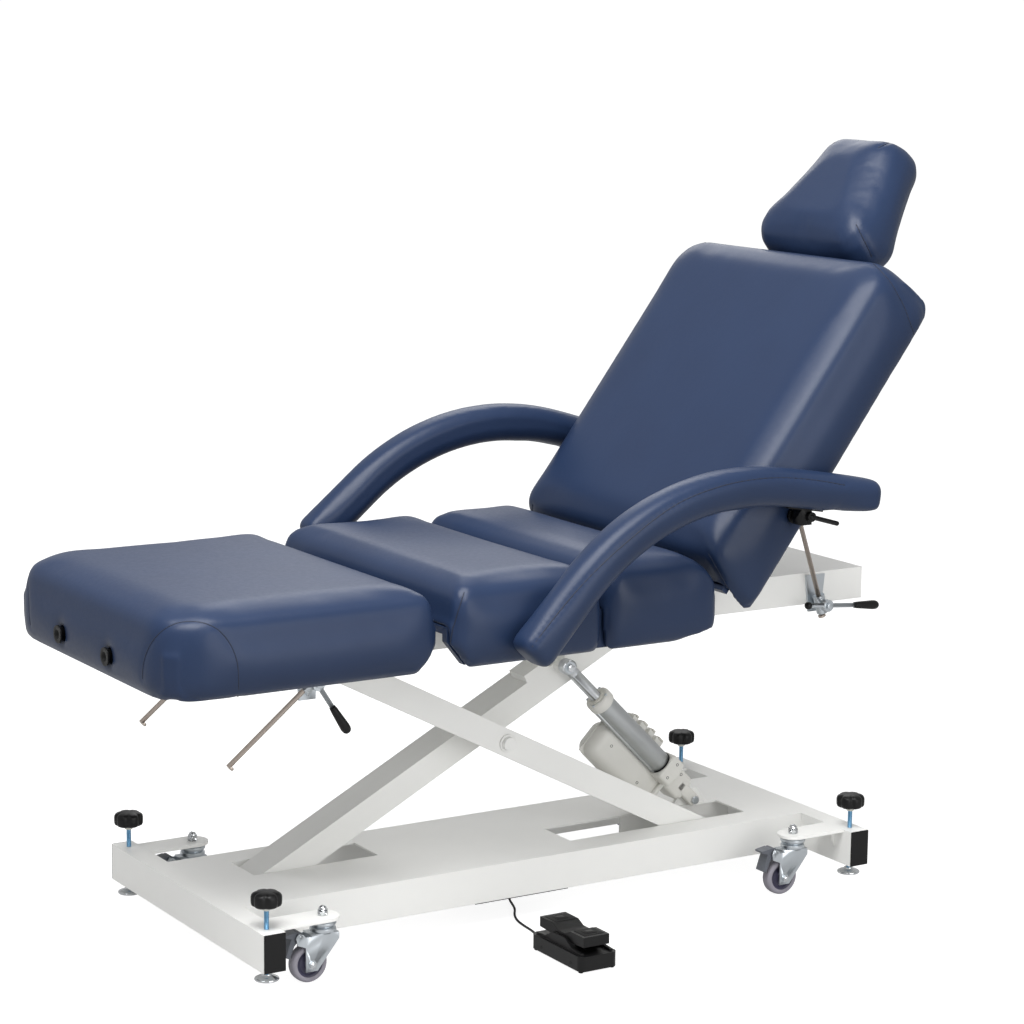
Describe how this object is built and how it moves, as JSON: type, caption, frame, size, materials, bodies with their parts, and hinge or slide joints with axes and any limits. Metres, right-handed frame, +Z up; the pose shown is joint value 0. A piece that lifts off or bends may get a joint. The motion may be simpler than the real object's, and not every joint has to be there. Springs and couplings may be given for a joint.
{
  "type": "facial bed",
  "caption": "Electric-lift facial bed: cushioned leg, seat and back sections with headrest and arched armrests on a scissor base with casters, levelling screws and a foot pedal.",
  "frame": {"origin": "on the floor below the middle of the base, where the casters stand", "axes": "+X along the bed towards the head end, +Y across it to the far side, +Z up"},
  "size_m": [1.9569, 0.986, 1.581],
  "materials": {
    "white_paint": "semi-gloss",
    "black_plastic": "matte",
    "chrome": "polished",
    "zinc": "zinc plated",
    "tyre_rubber": "matte",
    "grey_plastic": "satin",
    "aluminium": "satin",
    "white_plastic": "satin",
    "plywood": "raw",
    "navy_vinyl": "soft sheen vinyl coating",
    "lead_rubber": "matte"
  },
  "bodies": {
    "base": {"base_beam": "white_paint", "crossbars": "white_paint", "crossbar_caps": "black_plastic", "caster_plates": "white_paint", "caster_bolts": "chrome", "actuator_bracket": "white_paint", "control_box": "black_plastic", "pedal_base": "black_plastic", "pedal_cord": "lead_rubber"},
    "arm_a": {"arm_a": "white_paint", "centre_bolt": "zinc"},
    "arm_a_roller": {"arm_a_roller": "white_plastic"},
    "arm_b": {"arm_b": "white_paint"},
    "arm_b_roller": {"arm_b_roller": "white_plastic"},
    "actuator": {"actuator_housing": "grey_plastic", "actuator_motor": "grey_plastic", "actuator_tube": "aluminium"},
    "actuator_rod": {"actuator_rod": "zinc"},
    "top": {"top_beam": "white_paint", "frame_brackets": "zinc", "seat_panel": "plywood", "thigh_cushion": "navy_vinyl", "seat_cushion": "navy_vinyl"},
    "leg": {"leg_panel": "plywood", "leg_cushion": "navy_vinyl", "leg_outlets": "black_plastic"},
    "leg_lock": {"leg_lock_housings": "zinc"},
    "leg_rods": {"leg_rods": "zinc"},
    "leg_lever": {"leg_lever": "zinc"},
    "back": {"back_panel": "plywood", "back_cushion": "navy_vinyl", "back_sockets": "black_plastic"},
    "back_lock": {"back_lock_housings": "zinc"},
    "back_rods": {"back_rods": "zinc"},
    "back_lever": {"back_lever": "zinc"},
    "headrest": {"headrest_cushion": "navy_vinyl", "headrest_posts": "chrome"},
    "armrest_near": {"armrest_near": "navy_vinyl", "armrest_bracket_near": "zinc"},
    "armrest_far": {"armrest_far": "navy_vinyl", "armrest_bracket_far": "zinc"},
    "armrest_lever_near": {"armrest_lever_near": "black_plastic"},
    "armrest_lever_far": {"armrest_lever_far": "black_plastic"},
    "pedal_rocker": {"pedal_rocker": "black_plastic"},
    "caster_1": {"caster_fork_1": "zinc"},
    "wheel_1": {"caster_wheel_1": "tyre_rubber"},
    "brake_1": {"caster_brake_1": "grey_plastic"},
    "level_1": {"levelling_screw_1": "zinc"},
    "caster_2": {"caster_fork_2": "zinc"},
    "wheel_2": {"caster_wheel_2": "tyre_rubber"},
    "brake_2": {"caster_brake_2": "grey_plastic"},
    "level_2": {"levelling_screw_2": "zinc"},
    "caster_3": {"caster_fork_3": "zinc"},
    "wheel_3": {"caster_wheel_3": "tyre_rubber"},
    "brake_3": {"caster_brake_3": "grey_plastic"},
    "level_3": {"levelling_screw_3": "zinc"},
    "caster_4": {"caster_fork_4": "zinc"},
    "wheel_4": {"caster_wheel_4": "tyre_rubber"},
    "brake_4": {"caster_brake_4": "grey_plastic"},
    "level_4": {"levelling_screw_4": "zinc"}
  },
  "joints": [
    {"name": "lift", "type": "hinge", "parent": "base", "child": "arm_a", "pos_m": [-0.55586, 0, 0.088], "axis": [0, -1, 0], "range_deg": [-5.5, 9]},
    {"name": "scissor_cross", "type": "hinge", "parent": "arm_a", "child": "arm_b", "pos_m": [-0.034, 0, 0.3585], "axis": [0, -1, 0], "range_deg": [-18.2, 11.2]},
    {"name": "scissor_top", "type": "hinge", "parent": "arm_b", "child": "top", "pos_m": [-0.55586, 0, 0.62901], "axis": [0, -1, 0], "range_deg": [-5.6, 9.1]},
    {"name": "arm_a_roll", "type": "hinge", "parent": "arm_a", "child": "arm_a_roller", "pos_m": [0.48786, 0, 0.62901], "axis": [0, 1, 0], "continuous": true},
    {"name": "arm_b_roll", "type": "hinge", "parent": "arm_b", "child": "arm_b_roller", "pos_m": [0.48786, 0, 0.088], "axis": [0, 1, 0], "continuous": true},
    {"name": "actuator_tilt", "type": "hinge", "parent": "base", "child": "actuator", "pos_m": [0.503, -0.006, 0.143], "axis": [0, -1, 0], "range_deg": [-4, 2.6]},
    {"name": "actuator_stroke", "type": "slide", "parent": "actuator", "child": "actuator_rod", "axis": [-0.7081, 0, 0.7061], "range_m": [-0.08, 0.13]},
    {"name": "leg_lift", "type": "hinge", "parent": "top", "child": "leg", "pos_m": [-0.338, 0, 0.673], "axis": [0, 1, 0], "range_deg": [0, 20]},
    {"name": "leg_lock_turn", "type": "hinge", "parent": "top", "child": "leg_lock", "pos_m": [-0.54, 0, 0.567], "axis": [0, -1, 0], "range_deg": [0, 11.42]},
    {"name": "leg_rod_slide", "type": "slide", "parent": "leg_lock", "child": "leg_rods", "axis": [0.7782, 0, 0.628], "range_m": [0, 0.0243]},
    {"name": "leg_lever_turn", "type": "hinge", "parent": "leg_lock", "child": "leg_lever", "pos_m": [-0.54, -0.222, 0.567], "axis": [0, 1, 0], "range_deg": [0, 20], "stiffness_Nm_per_rad": 1.5},
    {"name": "back_recline", "type": "hinge", "parent": "top", "child": "back", "pos_m": [0.321, 0, 0.673], "axis": [0, -1, 0], "range_deg": [-53, 0]},
    {"name": "back_rod_turn", "type": "hinge", "parent": "back", "child": "back_rods", "pos_m": [0.57293, 0, 0.95748], "axis": [0, -1, 0], "range_deg": [0, 26.6]},
    {"name": "back_lock_turn", "type": "hinge", "parent": "top", "child": "back_lock", "pos_m": [0.6935, 0, 0.59789], "axis": [0, -1, 0], "range_deg": [-26.6, 0]},
    {"name": "back_lever_turn", "type": "hinge", "parent": "back_lock", "child": "back_lever", "pos_m": [0.6935, -0.222, 0.59789], "axis": [0, 1, 0], "range_deg": [0, 15], "stiffness_Nm_per_rad": 1.5},
    {"name": "headrest_height", "type": "slide", "parent": "back", "child": "headrest", "axis": [0.6018, 0, 0.7986], "range_m": [0, 0.07]},
    {"name": "armrest_near_turn", "type": "hinge", "parent": "back", "child": "armrest_near", "pos_m": [0.477, -0.4, 0.836], "axis": [0, 1, 0], "range_deg": [-10, 60]},
    {"name": "armrest_far_turn", "type": "hinge", "parent": "back", "child": "armrest_far", "pos_m": [0.477, 0.4, 0.836], "axis": [0, 1, 0], "range_deg": [-18, 52]},
    {"name": "armrest_near_lever", "type": "hinge", "parent": "armrest_near", "child": "armrest_lever_near", "pos_m": [0.482, -0.43, 0.841], "axis": [0, 1, 0], "range_deg": [-15, 15], "stiffness_Nm_per_rad": 0.5},
    {"name": "armrest_far_lever", "type": "hinge", "parent": "armrest_far", "child": "armrest_lever_far", "pos_m": [0.48265, 0.43, 0.84025], "axis": [0, 1, 0], "range_deg": [-15, 15], "stiffness_Nm_per_rad": 0.5},
    {"name": "caster_1_swivel", "type": "hinge", "parent": "base", "child": "caster_1", "pos_m": [-0.566, -0.291, 0.1], "axis": [0, 0, 1], "continuous": true},
    {"name": "wheel_1_spin", "type": "hinge", "parent": "caster_1", "child": "wheel_1", "pos_m": [-0.599, -0.291, 0.038], "axis": [0, 1, 0], "continuous": true},
    {"name": "brake_1_press", "type": "hinge", "parent": "caster_1", "child": "brake_1", "pos_m": [-0.624, -0.291, 0.098], "axis": [0, -1, 0], "range_deg": [0, 8]},
    {"name": "level_1_screw", "type": "slide", "parent": "base", "child": "level_1", "axis": [0, 0, 1], "range_m": [-0.028, 0.009]},
    {"name": "caster_2_swivel", "type": "hinge", "parent": "base", "child": "caster_2", "pos_m": [-0.566, 0.291, 0.1], "axis": [0, 0, 1], "continuous": true},
    {"name": "wheel_2_spin", "type": "hinge", "parent": "caster_2", "child": "wheel_2", "pos_m": [-0.599, 0.291, 0.038], "axis": [0, 1, 0], "continuous": true},
    {"name": "brake_2_press", "type": "hinge", "parent": "caster_2", "child": "brake_2", "pos_m": [-0.624, 0.291, 0.098], "axis": [0, -1, 0], "range_deg": [0, 8]},
    {"name": "level_2_screw", "type": "slide", "parent": "base", "child": "level_2", "axis": [0, 0, 1], "range_m": [-0.028, 0.009]},
    {"name": "caster_3_swivel", "type": "hinge", "parent": "base", "child": "caster_3", "pos_m": [0.566, -0.291, 0.1], "axis": [0, 0, 1], "continuous": true},
    {"name": "wheel_3_spin", "type": "hinge", "parent": "caster_3", "child": "wheel_3", "pos_m": [0.533, -0.291, 0.038], "axis": [0, 1, 0], "continuous": true},
    {"name": "brake_3_press", "type": "hinge", "parent": "caster_3", "child": "brake_3", "pos_m": [0.508, -0.291, 0.098], "axis": [0, -1, 0], "range_deg": [0, 8]},
    {"name": "level_3_screw", "type": "slide", "parent": "base", "child": "level_3", "axis": [0, 0, 1], "range_m": [-0.028, 0.009]},
    {"name": "caster_4_swivel", "type": "hinge", "parent": "base", "child": "caster_4", "pos_m": [0.566, 0.291, 0.1], "axis": [0, 0, 1], "continuous": true},
    {"name": "wheel_4_spin", "type": "hinge", "parent": "caster_4", "child": "wheel_4", "pos_m": [0.533, 0.291, 0.038], "axis": [0, 1, 0], "continuous": true},
    {"name": "brake_4_press", "type": "hinge", "parent": "caster_4", "child": "brake_4", "pos_m": [0.508, 0.291, 0.098], "axis": [0, -1, 0], "range_deg": [0, 8]},
    {"name": "level_4_screw", "type": "slide", "parent": "base", "child": "level_4", "axis": [0, 0, 1], "range_m": [-0.028, 0.009]},
    {"name": "pedal_rock", "type": "hinge", "parent": "base", "child": "pedal_rocker", "pos_m": [-0.079, -0.433, 0.05], "axis": [1, 0, 0], "range_deg": [-5, 5], "stiffness_Nm_per_rad": 6}
  ],
  "couplings": [
    {"joint": "scissor_cross", "follows": "lift", "ratio": -2},
    {"joint": "scissor_top", "follows": "lift", "ratio": 1},
    {"joint": "actuator_tilt", "follows": "lift", "ratio": -0.42},
    {"joint": "actuator_stroke", "follows": "lift", "m_per_rad": 0.79},
    {"joint": "leg_lock_turn", "follows": "leg_lift", "ratio": 0.5611},
    {"joint": "leg_rod_slide", "follows": "leg_lift", "m_per_rad": 0.068202},
    {"joint": "back_rod_turn", "follows": "back_recline", "ratio": -0.5},
    {"joint": "back_lock_turn", "follows": "back_recline", "ratio": 0.5}
  ]
}
